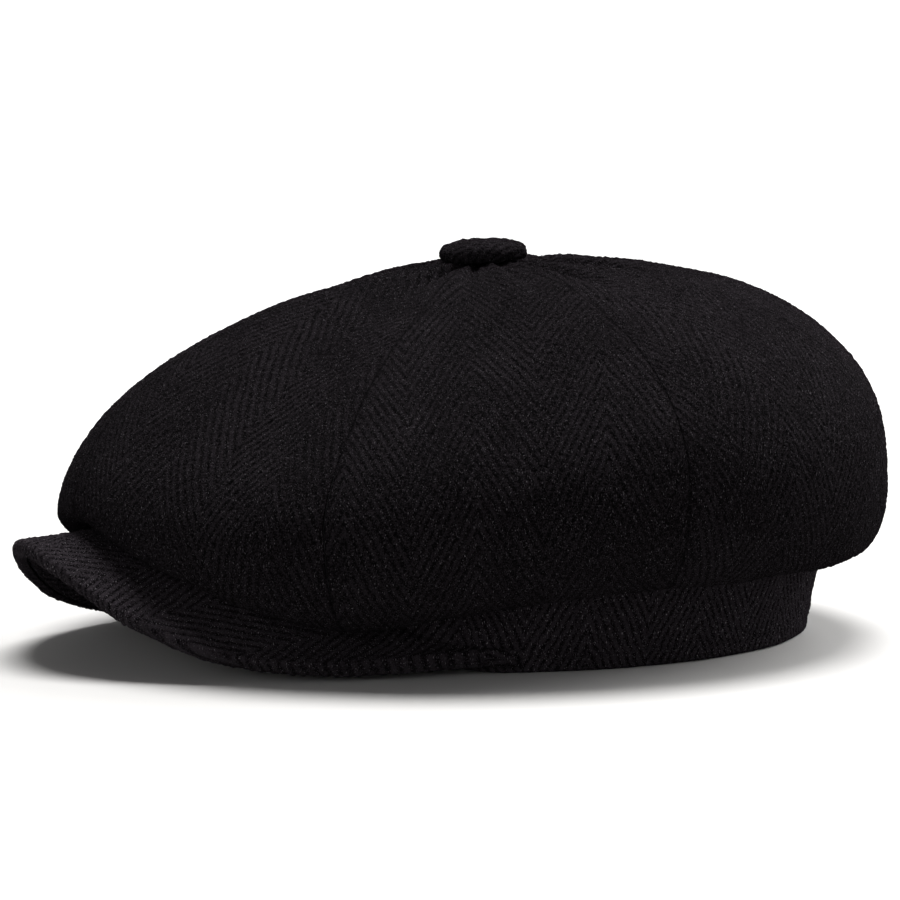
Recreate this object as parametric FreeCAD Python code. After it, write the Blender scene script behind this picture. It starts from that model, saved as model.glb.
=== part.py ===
import FreeCAD, Part
import math
import os

# Newsboy cap.  Millimetres.  +Z up, the visor points to -Y, the wearer's left
# is +X.  The origin is the middle of the head opening, level with the plane
# the cap rests on.  Angles round the cap start at the front centre (0) and
# run to the wearer's left (90) and the back (180).

# ---- crown ---------------------------------------------------------------
GORES = 8
GORE_ANGLE = 360.0 / GORES
CROWN_FRONT = 152.1        # reach of the crown from the origin, level, forwards
CROWN_BACK = 120.0
CROWN_SIDE = 121.0
CROWN_TOP = 121.0
APEX_Y = -11.0             # the gores meet this far in front of the origin
# heights and overhang at stations round the crown, (angle, value)
BULGE_HEIGHT = ((0, 48.5), (20, 41.5), (45, 49.6), (90, 58), (135, 52), (180, 46))
LIP_HEIGHT = ((0, 43), (10, 38.5), (22, 29), (35, 19.5), (47, 16.5), (60, 21.5),
              (90, 27), (135, 27.5), (180, 27))
LIP_TUCK = ((0, 6), (20, 9), (45, 15), (90, 17), (135, 12), (180, 9))
FULLNESS = ((0, 1.84), (45, 1.52), (90, 2.06), (135, 2.5), (180, 3.0))
CROWN_CLOTH = 2.0          # brushed wool
GORE_GAP = 0.06            # degrees kept open on each side of a seam
GORE_START = 5.5           # radius at which the gores end under the button
START_STEP = 0.002         # step of the search for that radius
LINING_CLOTH = 0.5
LINING_GAP = 0.4
LINING_START = 5.0
LINING_END = 2.8           # the lining stops just short of the band seam

# ---- band ----------------------------------------------------------------
BAND_FRONT = 104.0         # reach of the hem's outer face from the origin
BAND_BACK = 99.5
BAND_SIDE = 87.0
BAND_HEIGHT = ((0, 23), (40, 28), (70, 34), (180, 34))
BAND_CLOTH = 1.8
BAND_LEAN = 8.0            # the top of the band leans out by this at the back
STIFFENER = 0.7
SWEATBAND = 0.9
LAYER_GAP = 0.15
BAND_TO_CROWN = 0.4
BAND_SEAM = 0.95           # share of the band's height where the crown is sewn on
SEAM_LEAVE = 0.7           # how far the crown's fold runs flat, at the lip
SEAM_ARRIVE = 0.6          # and at the band
SEAM_CLIMB = 1.3           # and how steeply it climbs there
HEM_TRIM = 0.6             # cut off below the hem to leave it flat
SWEATBAND_SHORT = 2.5      # the sweatband ends this far above the band's hem
STIFFENER_SHORT = 4.0

# ---- visor ---------------------------------------------------------------
VISOR_HALF_WIDTH = 81.9
VISOR_CENTRE_Y = -39.5
VISOR_LENGTH = 129.8       # from VISOR_CENTRE_Y to the tip
VISOR_TIP_Z = 33.3         # height of the edge: tip - drop sin^2 + rise sin^4
VISOR_DROP = 76.6
VISOR_RISE = 46.8
VISOR_END = 85.0           # the edge angle at the visor's back corners
VISOR_WRAP = 68.0          # the visor's seam ends at this angle of the band
VISOR_SEAM_Z = 41.0        # height of the board at the front of the seam
VISOR_CORNER_Z = 5.2
VISOR_ARCH_POWER = 2.2
VISOR_SEAM_GAP = 1.6       # between the band's face and the visor's back edge
VISOR_BOARD = 1.6
VISOR_CLOTH = 1.7
VISOR_LEAN_X = 1.35        # the layers stack along (LEAN_X sin 2t cos t, LEAN_Y, 1)
VISOR_LEAN_Y = -0.15
BOARD_END = 0.96           # share of the visor's depth that the board fills

# ---- button --------------------------------------------------------------
BUTTON_RADIUS = 14.2
BUTTON_HEIGHT = 6.8
BUTTON_TILT = 2.5          # degrees, towards the visor
BUTTON_COVER = 1.9
BUTTON_SHELL = 0.6
BUTTON_LIFT = 0.4          # clear of the gores
BUTTON_ROLL = 2.4          # radius of the rolled rim
LOOP_RADIUS = 2.6
LOOP_WIRE = 0.6
LOOP_SUNK = 0.2            # the loop stands in the plate by this
BUTTON_PLATE = (0.3, 1.5)  # heights of the back plate's two faces

# points taken along and across each sheet
GORE_ALONG = 34
GORE_ACROSS = 9
BAND_AROUND = 73
BAND_ACROSS = 6
VISOR_AROUND = 45
VISOR_ACROSS = 8
DOME_STEPS = 12
SAME_DIRECTION = 1         # ruled faces join edges that run the same way
SEW = 0.005                # sheets are sewn shut within this

SIDES = ("left", "right")
GORE_NAMES = ("front", "front_side", "back_side", "back")


def vec(x, y, z):
    return FreeCAD.Vector(x, y, z)


def station(table, angle):
    """Smooth value between stations; the same on both sides of the cap."""
    a = abs((angle + 180.0) % 360.0 - 180.0)
    knots = [(-table[1][0], table[1][1])] + list(table)
    knots.append((2 * table[-1][0] - table[-2][0], table[-2][1]))
    for i in range(1, len(knots) - 2):
        a0, v0 = knots[i]
        a1, v1 = knots[i + 1]
        if a <= a1:
            break
    span = a1 - a0
    slope0 = (v1 - knots[i - 1][1]) / (a1 - knots[i - 1][0])
    slope1 = (knots[i + 2][1] - v0) / (knots[i + 2][0] - a0)
    t = (a - a0) / span
    return ((2 * t ** 3 - 3 * t ** 2 + 1) * v0 + (t ** 3 - 2 * t ** 2 + t) * span * slope0
            + (3 * t ** 2 - 2 * t ** 3) * v1 + (t ** 3 - t ** 2) * span * slope1)


def rise_share(angle):
    """1 at the front seam, 0 at the visor's corners and behind them."""
    a = abs((angle + 180.0) % 360.0 - 180.0)
    if a >= VISOR_WRAP:
        return 0.0
    return math.cos(math.radians(90.0 * a / VISOR_WRAP)) ** VISOR_ARCH_POWER


def band_lift(angle):
    """Height of the band's hem above the resting plane."""
    return (VISOR_SEAM_Z - VISOR_CORNER_Z) * rise_share(angle)


def band_plan(angle, out):
    """The band's hem line seen from above, moved outwards by out."""
    f = math.radians(angle)
    reach = (BAND_FRONT + BAND_BACK) / 2 + (BAND_FRONT - BAND_BACK) / 2 * math.cos(f)
    nx, ny = math.sin(f) / BAND_SIDE, -math.cos(f) / reach
    n = math.hypot(nx, ny)
    return BAND_SIDE * math.sin(f) + out * nx / n, -reach * math.cos(f) + out * ny / n


def band_point(angle, s, depth):
    """Point of the band at height share s, depth inwards from its outer face."""
    back = 0.5 - 0.5 * math.cos(math.radians(angle))
    x, y = band_plan(angle, BAND_LEAN * back * max(s, 0.0) ** 1.5 - depth)
    return vec(x, y, band_lift(angle) + station(BAND_HEIGHT, angle) * s)


def crown_point(angle, u):
    """Outer face of the crown: u 0 apex, 1 widest ring, 2 lip, 3 band seam."""
    f = math.radians(angle)
    reach = (CROWN_FRONT + CROWN_BACK) / 2 + (CROWN_FRONT - CROWN_BACK) / 2 * math.cos(f)
    bulge = station(BULGE_HEIGHT, angle)
    lip = station(LIP_HEIGHT, angle)
    keep = 1.0 - station(LIP_TUCK, angle) / CROWN_SIDE
    if u <= 1.0:
        p = 2.0 / station(FULLNESS, angle)
        share = math.sin(u * math.pi / 2) ** p
        z = bulge + (CROWN_TOP - bulge) * max(math.cos(u * math.pi / 2), 0.0) ** p
        y = APEX_Y * (1 - share) - reach * math.cos(f) * share
        return vec(CROWN_SIDE * math.sin(f) * share, y, z)
    if u <= 2.0:
        q = (u - 1.0) * math.pi / 2
        share = 1.0 - (1.0 - keep) * (1.0 - math.cos(q))
        z = bulge - (bulge - lip) * math.sin(q)
        return vec(CROWN_SIDE * math.sin(f) * share, -reach * math.cos(f) * share, z)
    t = u - 2.0
    start = vec(CROWN_SIDE * math.sin(f) * keep, -reach * math.cos(f) * keep, lip)
    end = band_point(angle, BAND_SEAM, -BAND_TO_CROWN)
    flat = vec(end.x - start.x, end.y - start.y, 0)
    leave = flat * SEAM_LEAVE
    arrive = vec(0, 0, (end.z - lip) * SEAM_CLIMB) + flat * SEAM_ARRIVE
    return (start * (2 * t ** 3 - 3 * t ** 2 + 1) + leave * (t ** 3 - 2 * t ** 2 + t)
            + end * (3 * t ** 2 - 2 * t ** 3) + arrive * (t ** 3 - t ** 2))


def crown_inside(angle, u, depth):
    """Crown point moved inwards along the normal by depth."""
    step = 0.02
    along = crown_point(angle, min(u + step, 3.0)) - crown_point(angle, u - step)
    across = crown_point(angle + 0.5, u) - crown_point(angle - 0.5, u)
    normal = along.cross(across)
    normal.normalize()
    return crown_point(angle, u) - normal * depth


def shell_solid(outer, inner):
    """Closed solid between two point grids of the same size."""
    faces = []
    edges = []
    for grid in (outer, inner):
        surface = Part.BSplineSurface()
        surface.interpolate(grid)
        u0, u1, v0, v1 = surface.bounds()
        faces.append(surface.toShape())
        edges.append([surface.uIso(u0).toShape(), surface.uIso(u1).toShape(),
                      surface.vIso(v0).toShape(), surface.vIso(v1).toShape()])
    for a, b in zip(edges[0], edges[1]):
        faces.append(Part.makeRuledSurface(a, b, SAME_DIRECTION))
    shell = Part.Compound(faces)
    shell.sewShape(SEW)
    solid = Part.Solid(shell.Shells[0])
    if solid.Volume < 0:
        solid.reverse()
    return solid


def spread(first, last, count):
    return [first + (last - first) * i / (count - 1) for i in range(count)]


def crown_start(radius):
    """Share u at which the crown is this far from the apex."""
    u = 0.0
    while True:
        u += START_STEP
        p = crown_point(90.0, u)
        if math.hypot(p.x, p.y - APEX_Y) >= radius:
            return u


def gore(index, radius, outer_depth, inner_depth, last):
    first = index * GORE_ANGLE + GORE_GAP
    angles = spread(first, first + GORE_ANGLE - 2 * GORE_GAP, GORE_ACROSS)
    start = crown_start(radius)
    shares = spread(start, last, GORE_ALONG)
    grids = []
    for depth in (outer_depth, inner_depth):
        grids.append([[crown_inside(a, u, depth) for u in shares] for a in angles])
    return shell_solid(grids[0], grids[1])


def ring(outer_depth, inner_depth, low, high):
    """Closed strip following the band, made as two halves joined at front and back."""
    halves = []
    for side in (0, 1):
        angles = spread(180.0 * side, 180.0 * (side + 1), BAND_AROUND // 2 + 1)
        grids = []
        for depth in (outer_depth, inner_depth):
            grid = []
            for a in angles:
                height = station(BAND_HEIGHT, a)
                shares = spread(low / height, 1.0 - high / height, BAND_ACROSS)
                grid.append([band_point(a, s, depth) for s in shares])
            grids.append(grid)
        halves.append(shell_solid(grids[0], grids[1]))
    return halves[0].fuse(halves[1])


def flat_hem(strip):
    """The strip cut level with the resting plane, so its hem lies flat there."""
    size = 4 * BAND_FRONT
    below = Part.makeBox(size, size, size, vec(-size / 2, -size / 2, -size))
    return strip.cut(below)


def visor_edge(t):
    """Middle of the visor's outer edge at edge angle t."""
    r = math.radians(t)
    s2 = math.sin(r) ** 2
    z = VISOR_TIP_Z - VISOR_DROP * s2 + VISOR_RISE * s2 ** 2
    lean = visor_lean(t)
    half = VISOR_BOARD / 2 + LAYER_GAP + VISOR_CLOTH
    return vec(VISOR_HALF_WIDTH * math.sin(r), VISOR_CENTRE_Y - VISOR_LENGTH * math.cos(r),
               z + half * lean.z)


def visor_lean(t):
    """Direction the visor's layers stack in at its edge."""
    r = math.radians(t)
    lean = vec(VISOR_LEAN_X * math.sin(2 * r) * math.cos(r), VISOR_LEAN_Y, 1.0)
    return lean.normalize()


def visor_point(t, r, offset):
    """Visor at edge angle t, share r from seam to edge, offset up from the board."""
    angle = t / VISOR_END * VISOR_WRAP
    x, y = band_plan(angle, VISOR_SEAM_GAP)
    z = VISOR_CORNER_Z + (VISOR_SEAM_Z - VISOR_CORNER_Z) * rise_share(angle)
    seam = vec(x, y, z + offset)
    return seam * (1 - r) + (visor_edge(t) + visor_lean(t) * offset) * r


def visor_layer(low, high, end):
    angles = spread(-VISOR_END, VISOR_END, VISOR_AROUND)
    shares = spread(0.0, end, VISOR_ACROSS)
    grids = [[[visor_point(t, r, o) for r in shares] for t in angles] for o in (high, low)]
    return shell_solid(grids[0], grids[1])


def revolve(points):
    """Solid of revolution about Z from (radius, height) points."""
    wire = Part.makePolygon([vec(r, 0, z) for r, z in points + points[:1]])
    return Part.Face(wire).revolve(vec(0, 0, 0), vec(0, 0, 1), 360)


def dome(radius, height, roll, base):
    """Half profile of a domed disc with a rolled rim, from the axis to the foot."""
    crown_height = height - roll
    points = []
    for i in range(DOME_STEPS + 1):
        q = math.pi / 2 * i / DOME_STEPS
        points.append(((radius - roll) * math.sin(q) + roll * math.sin(q) ** 3,
                       base + roll + crown_height * math.cos(q)))
    for i in range(1, 7):
        q = math.pi / 2 * i / 6
        points.append((radius - roll + roll * math.cos(q), base + roll - roll * math.sin(q)))
    return points


def on_crown(shape):
    """Turn and lift a button piece from its own axis to the top of the crown."""
    shape.rotate(vec(0, 0, 0), vec(1, 0, 0), BUTTON_TILT)
    shape.translate(vec(0, APEX_Y, CROWN_TOP + BUTTON_LIFT))
    return shape


def button_cover():
    outer = dome(BUTTON_RADIUS, BUTTON_HEIGHT, BUTTON_ROLL, 0.0)
    inner = dome(BUTTON_RADIUS - BUTTON_COVER, BUTTON_HEIGHT - 2 * BUTTON_COVER,
                 BUTTON_ROLL / 2, BUTTON_COVER)
    foot = BUTTON_RADIUS - BUTTON_ROLL - BUTTON_COVER
    return on_crown(revolve(outer + [(foot, 0.0), (foot, BUTTON_COVER)] + inner[::-1][1:]))


def button_shell():
    radius = BUTTON_RADIUS - BUTTON_COVER - LAYER_GAP
    height = BUTTON_HEIGHT - 2 * BUTTON_COVER - LAYER_GAP
    roll = BUTTON_ROLL / 2
    outer = dome(radius, height, roll, BUTTON_COVER)[:DOME_STEPS + 1]
    inner = dome(radius - BUTTON_SHELL, height - BUTTON_SHELL, roll, BUTTON_COVER)
    return on_crown(revolve(outer + inner[:DOME_STEPS + 1][::-1]))


def button_back():
    radius = BUTTON_RADIUS - BUTTON_ROLL - BUTTON_COVER - LAYER_GAP
    low, high = BUTTON_PLATE
    return on_crown(revolve([(0, low), (radius, low), (radius, high), (0, high)]))


def button_loop():
    loop = Part.makeTorus(LOOP_RADIUS, LOOP_WIRE, vec(0, 0, 0), vec(0, 1, 0))
    loop.translate(vec(0, 0, LOOP_SUNK - LOOP_RADIUS - LOOP_WIRE))
    return on_crown(loop)


def build():
    pieces = {}
    inner = CROWN_CLOTH + LINING_GAP
    for index in range(GORES):
        side = SIDES[index * 2 // GORES]
        place = GORE_NAMES[index if index < GORES // 2 else GORES - 1 - index]
        name = place + "_" + side
        pieces["crown_gore_" + name] = gore(index, GORE_START, 0.0, CROWN_CLOTH, 3.0)
        pieces["lining_gore_" + name] = gore(index, LINING_START, inner,
                                             inner + LINING_CLOTH, LINING_END)
    depth = BAND_CLOTH + LAYER_GAP
    pieces["band_cloth"] = flat_hem(ring(0.0, BAND_CLOTH, -HEM_TRIM, 0.0))
    pieces["band_stiffener"] = ring(depth, depth + STIFFENER, STIFFENER_SHORT, STIFFENER_SHORT)
    depth += STIFFENER + LAYER_GAP
    pieces["sweatband"] = ring(depth, depth + SWEATBAND, SWEATBAND_SHORT, 0.0)
    half = VISOR_BOARD / 2
    face = half + LAYER_GAP
    pieces["visor_board"] = visor_layer(-half, half, BOARD_END)
    pieces["visor_top_cloth"] = visor_layer(face, face + VISOR_CLOTH, 1.0)
    pieces["visor_under_cloth"] = visor_layer(-face - VISOR_CLOTH, -face, 1.0)
    pieces["button_cover"] = button_cover()
    pieces["button_shell"] = button_shell()
    pieces["button_back"] = button_back()
    pieces["button_loop"] = button_loop()
    return pieces


os.makedirs("parts", exist_ok=True)
for node, shape in build().items():
    shape.exportStep("parts/" + node + ".step")
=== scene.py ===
import math

import bpy
import numpy as np
from mathutils import Matrix, Vector


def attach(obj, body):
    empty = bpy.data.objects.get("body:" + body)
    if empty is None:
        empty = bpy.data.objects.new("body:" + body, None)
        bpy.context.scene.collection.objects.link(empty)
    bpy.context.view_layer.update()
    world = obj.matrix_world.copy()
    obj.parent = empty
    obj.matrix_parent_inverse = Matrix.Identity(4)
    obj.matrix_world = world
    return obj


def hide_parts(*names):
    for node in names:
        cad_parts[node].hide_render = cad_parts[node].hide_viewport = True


bl_info = {
    "name": "Newsboy Cap",
    "version": (1, 0, 0),
    "blender": (4, 5, 0),
    "location": "View3D > Sidebar > Cap",
    "description": "Builds the cloth, lining, button and stitching of an eight-panel newsboy cap",
    "category": "Object",
}

# Metres.  +Z up, the visor points to -Y, the wearer's left is +X.  Angles
# round the cap are in degrees from the front seam, by the left, to the back.
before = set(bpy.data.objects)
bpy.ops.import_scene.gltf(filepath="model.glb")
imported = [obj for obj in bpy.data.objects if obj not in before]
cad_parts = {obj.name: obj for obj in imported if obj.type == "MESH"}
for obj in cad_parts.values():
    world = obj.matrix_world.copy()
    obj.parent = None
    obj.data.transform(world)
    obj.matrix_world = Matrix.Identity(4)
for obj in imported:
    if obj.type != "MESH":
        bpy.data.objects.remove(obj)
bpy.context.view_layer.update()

MM = 0.001
GORES = 8
GORE_ANGLE = 360.0 / GORES
SIDES = ("left", "right")
GORE_NAMES = ("front", "front_side", "back_side", "back")

# the crown's shape
CROWN_FRONT = 152.1 * MM
CROWN_BACK = 120.0 * MM
CROWN_SIDE = 121.0 * MM
CROWN_TOP = 121.0 * MM
APEX_Y = -11.0 * MM
BULGE_HEIGHT = ((0, 48.5), (20, 41.5), (45, 49.6), (90, 58), (135, 52), (180, 46))
LIP_HEIGHT = ((0, 43), (10, 38.5), (22, 29), (35, 19.5), (47, 16.5), (60, 21.5),
              (90, 27), (135, 27.5), (180, 27))
LIP_TUCK = ((0, 6), (20, 9), (45, 15), (90, 17), (135, 12), (180, 9))
FULLNESS = ((0, 1.84), (45, 1.52), (90, 2.06), (135, 2.5), (180, 3.0))
CROWN_CLOTH = 2.0 * MM
LINING_GAP = 0.4 * MM
LINING_CLOTH = 0.4 * MM
SEAM_HALF_GAP = 0.03           # degrees between a gore's edge and the seam line
GORE_START = 5.5 * MM
LINING_START = 5.0 * MM
LINING_END = 2.8

# the band's shape
BAND_FRONT = 104.0 * MM
BAND_BACK = 99.5 * MM
BAND_SIDE = 87.0 * MM
BAND_HEIGHT = ((0, 23), (40, 28), (70, 34), (180, 34))
BAND_CLOTH = 1.8 * MM
BAND_LEAN = 8.0 * MM
BAND_TO_CROWN = 0.4 * MM
SWEATBAND_DEPTH = 2.8 * MM
SWEATBAND_CLOTH = 0.9 * MM
SWEATBAND_SHORT = 2.5 * MM
BAND_ROUND = 0.62              # about the way round the band
GROOVE_HEIGHT = 4.2 * MM       # the hem's sewn groove above its fold
HEM_ROLL = 1.35 * MM           # radius of the hem's fold

# the visor's shape
VISOR_HALF_WIDTH = 81.9 * MM
VISOR_CENTRE_Y = -39.5 * MM
VISOR_LENGTH = 129.8 * MM
VISOR_TIP_Z = 33.3 * MM
VISOR_DROP = 76.6 * MM
VISOR_RISE = 46.8 * MM
VISOR_END = 85.0
VISOR_WRAP = 68.0
VISOR_SEAM_Z = 41.0 * MM
VISOR_CORNER_Z = 5.2 * MM
VISOR_ARCH_POWER = 2.2
VISOR_SEAM_GAP = 1.6 * MM
VISOR_HALF = 2.65 * MM         # half the sewn thickness
VISOR_BOARD_HALF = 0.95 * MM
VISOR_LEAN_X = 1.35
VISOR_LEAN_Y = -0.15
END_SHIFT = [1.5, 1.2, 0.7]    # the cloth's ends stand out past the board, in millimetres
END_PINCH = [0.03, 0.6, 0.95]  # and close together, as a share of the thickness

# the button
BUTTON_RADIUS = 14.2 * MM
BUTTON_HEIGHT = 6.8 * MM
BUTTON_TILT = math.radians(2.5)
BUTTON_LIFT = 0.4 * MM
BUTTON_ROLL = 2.4 * MM
BUTTON_CLOTH = 0.8 * MM
BUTTON_FULL = 0.8              # under 1 makes the dome fuller than an ellipse

# the wool's weave
BOLD_RIBS = 2.4                # the ribs stand higher on the visor
COLUMN = 20.0 * MM             # width of one herringbone column
RIB = 2.45 * MM                # from one rib to the next
RIB_TILT = math.radians(27.0)  # between the ribs and the column
STEP = 0.62 * MM               # grid of the cloth's outer face
STRIDE = 4                     # the inner face's grid is this much coarser

# the camera
CAMERA_AZIMUTH = math.radians(64.0)
CAMERA_ELEVATION = math.radians(6.5)
CAMERA_DISTANCE = 1.23
CAMERA_TARGET = (0.0, 0.0, 60.0 * MM)
CAMERA_RIGHT = -20.7 * MM      # the view's middle lies this far beside the target
CAMERA_UP = -1.3 * MM
CAMERA_LENS = 150.0
SKY_STRENGTH = 0.22


# ---------------------------------------------------------------- shapes

def station(table, angle):
    """Smooth value between stations of a table in millimetres or plain numbers."""
    knots = [(-table[1][0], table[1][1])] + list(table)
    knots.append((2 * table[-1][0] - table[-2][0], table[-2][1]))
    xs, ys = (np.array(v, float) for v in zip(*knots))
    a = np.abs((np.asarray(angle, float) + 180.0) % 360.0 - 180.0)
    i = np.clip(np.searchsorted(xs, a, side="left") - 1, 1, len(xs) - 3)
    span = xs[i + 1] - xs[i]
    slope0 = (ys[i + 1] - ys[i - 1]) / (xs[i + 1] - xs[i - 1])
    slope1 = (ys[i + 2] - ys[i]) / (xs[i + 2] - xs[i])
    t = (a - xs[i]) / span
    return ((2 * t ** 3 - 3 * t ** 2 + 1) * ys[i] + (t ** 3 - 2 * t ** 2 + t) * span * slope0
            + (3 * t ** 2 - 2 * t ** 3) * ys[i + 1] + (t ** 3 - t ** 2) * span * slope1)


def rise_share(angle):
    a = np.abs((np.asarray(angle, float) + 180.0) % 360.0 - 180.0)
    c = np.cos(np.radians(90.0 * np.minimum(a / VISOR_WRAP, 1.0)))
    return np.clip(c, 0.0, 1.0) ** VISOR_ARCH_POWER


def band_lift(angle):
    return (VISOR_SEAM_Z - VISOR_CORNER_Z) * rise_share(angle)


def band_plan(angle, out):
    f = np.radians(angle)
    reach = (BAND_FRONT + BAND_BACK) / 2 + (BAND_FRONT - BAND_BACK) / 2 * np.cos(f)
    nx, ny = np.sin(f) / BAND_SIDE, -np.cos(f) / reach
    n = np.hypot(nx, ny)
    return BAND_SIDE * np.sin(f) + out * nx / n, -reach * np.cos(f) + out * ny / n


def band_point(angle, height, depth):
    """Point of the band this far above its hem and inwards from its outer face."""
    full = station(BAND_HEIGHT, angle) * MM
    back = 0.5 - 0.5 * np.cos(np.radians(angle))
    share = np.clip(height / full, 0.0, None)
    x, y = band_plan(angle, BAND_LEAN * back * share ** 1.5 - depth)
    return np.stack([x, y, band_lift(angle) + height + 0 * x], -1)


def crown_point(angle, u):
    """Outer face of the crown: u 0 apex, 1 widest ring, 2 lip, 3 band seam."""
    angle, u = np.broadcast_arrays(np.asarray(angle, float), np.asarray(u, float))
    f = np.radians(angle)
    reach = (CROWN_FRONT + CROWN_BACK) / 2 + (CROWN_FRONT - CROWN_BACK) / 2 * np.cos(f)
    bulge = station(BULGE_HEIGHT, angle) * MM
    lip = station(LIP_HEIGHT, angle) * MM
    keep = 1.0 - station(LIP_TUCK, angle) * MM / CROWN_SIDE
    p = 2.0 / station(FULLNESS, angle)
    q = np.clip(u, 0, 1) * math.pi / 2
    share = np.sin(q) ** p
    top = np.stack([CROWN_SIDE * np.sin(f) * share,
                    APEX_Y * (1 - share) - reach * np.cos(f) * share,
                    bulge + (CROWN_TOP - bulge) * np.clip(np.cos(q), 0, 1) ** p], -1)
    q = np.clip(u - 1, 0, 1) * math.pi / 2
    share = 1.0 - (1.0 - keep) * (1.0 - np.cos(q))
    side = np.stack([CROWN_SIDE * np.sin(f) * share, -reach * np.cos(f) * share,
                     bulge - (bulge - lip) * np.sin(q)], -1)
    t = np.clip(u - 2, 0, 1)[..., None]
    start = np.stack([CROWN_SIDE * np.sin(f) * keep, -reach * np.cos(f) * keep, lip], -1)
    end = band_point(angle, 0.95 * station(BAND_HEIGHT, angle) * MM, -BAND_TO_CROWN)
    flat = (end - start) * (1, 1, 0)
    arrive = flat * 0.6
    arrive[..., 2] = (end[..., 2] - lip) * 1.3
    under = (start * (2 * t ** 3 - 3 * t ** 2 + 1) + flat * 0.7 * (t ** 3 - 2 * t ** 2 + t)
             + end * (3 * t ** 2 - 2 * t ** 3) + arrive * (t ** 3 - t ** 2))
    u = u[..., None]
    return np.where(u <= 1, top, np.where(u <= 2, side, under))


def visor_lean(t):
    r = np.radians(t)
    lean = np.stack([VISOR_LEAN_X * np.sin(2 * r) * np.cos(r),
                     VISOR_LEAN_Y + 0 * r, 1 + 0 * r], -1)
    return lean / np.linalg.norm(lean, axis=-1, keepdims=True)


def visor_point(t, r, offset):
    """Visor at edge angle t, share r from seam to edge, offset up from the board."""
    t, r, offset = np.broadcast_arrays(*(np.asarray(v, float) for v in (t, r, offset)))
    angle = t / VISOR_END * VISOR_WRAP
    x, y = band_plan(angle, VISOR_SEAM_GAP)
    z = VISOR_CORNER_Z + (VISOR_SEAM_Z - VISOR_CORNER_Z) * rise_share(angle)
    seam = np.stack([x, y, z + offset], -1)
    f = np.radians(t)
    s2 = np.sin(f) ** 2
    lean = visor_lean(t)
    edge = np.stack([VISOR_HALF_WIDTH * np.sin(f), VISOR_CENTRE_Y - VISOR_LENGTH * np.cos(f),
                     VISOR_TIP_Z - VISOR_DROP * s2 + VISOR_RISE * s2 ** 2
                     + VISOR_HALF * lean[..., 2]], -1)
    r = r[..., None]
    return seam * (1 - r) + (edge + lean * offset[..., None]) * r


# ---------------------------------------------------------------- cloth

def waves(points, size, seed, octaves=3):
    """Smooth seeded variation of about -1 to 1 over points, size metres across."""
    rng = np.random.default_rng(seed)
    total = np.zeros(points.shape[:-1])
    for octave in range(octaves):
        for _ in range(7):
            way = rng.normal(size=3)
            way *= 2 * math.pi / (size * 0.55 ** octave) / np.linalg.norm(way)
            total += np.sin(points @ way * rng.uniform(0.6, 1.4)
                            + rng.uniform(0, 2 * math.pi)) * 0.6 ** octave
    return total / 4.2


def rib_height(across, along):
    """Herringbone relief from -1 to 1; the columns run along the cloth."""
    fold = COLUMN - np.abs(across % (2 * COLUMN) - COLUMN)
    q = fold * math.cos(RIB_TILT) - along * math.sin(RIB_TILT)
    return np.sin(2 * math.pi * q / RIB)


def grid_normals(points, wrap=False):
    du = np.gradient(points, axis=0)
    if wrap:
        du = (np.roll(points, -1, 0) - np.roll(points, 1, 0)) / 2
    dv = np.gradient(points, axis=1)
    n = np.cross(du, dv)
    return n / np.maximum(np.linalg.norm(n, axis=-1, keepdims=True), 1e-12)


def lengths(points, axis):
    """Distance travelled along one axis of a grid of points, from its start."""
    step = np.linalg.norm(np.diff(points, axis=axis), axis=-1)
    zero = np.zeros_like(np.take(step, [0], axis=axis))
    return np.concatenate([zero, np.cumsum(step, axis=axis)], axis=axis)


def even(path, step, stride=1):
    """Shares along a path (function of an array) at even distances of about step."""
    fine = np.linspace(0, 1, 1500)
    run = lengths(path(fine), 0)
    count = max(2, int(round(run[-1] / step / stride)) * stride)
    return np.interp(np.linspace(0, run[-1], count + 1), run, fine)


def new_mesh(name, verts, faces, weave=None):
    """Mesh object from an array of points and a list of arrays of faces."""
    mesh = bpy.data.meshes.new(name)
    flat = np.concatenate([np.asarray(f, np.int32).ravel() for f in faces])
    sizes = np.concatenate([np.full(len(f), np.shape(f)[1], np.int32) for f in faces])
    mesh.vertices.add(len(verts))
    mesh.vertices.foreach_set("co", np.asarray(verts, np.float32).ravel())
    mesh.loops.add(len(flat))
    mesh.loops.foreach_set("vertex_index", flat)
    mesh.polygons.add(len(sizes))
    mesh.polygons.foreach_set("loop_start", np.concatenate([[0], np.cumsum(sizes)[:-1]]))
    mesh.polygons.foreach_set("loop_total", sizes)
    mesh.polygons.foreach_set("use_smooth", np.ones(len(sizes), bool))
    if weave is not None:
        layer = mesh.attributes.new("weave", "FLOAT_VECTOR", "POINT")
        layer.data.foreach_set("vector", np.asarray(weave, np.float32).ravel())
    mesh.update(calc_edges=True)
    mesh.validate()
    obj = bpy.data.objects.new(name, mesh)
    bpy.context.scene.collection.objects.link(obj)
    return obj


def quads(index, flip=False):
    a, b = index[:-1, :-1].ravel(), index[1:, :-1].ravel()
    c, d = index[1:, 1:].ravel(), index[:-1, 1:].ravel()
    return np.stack([a, d, c, b] if flip else [a, b, c, d], -1)


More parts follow.
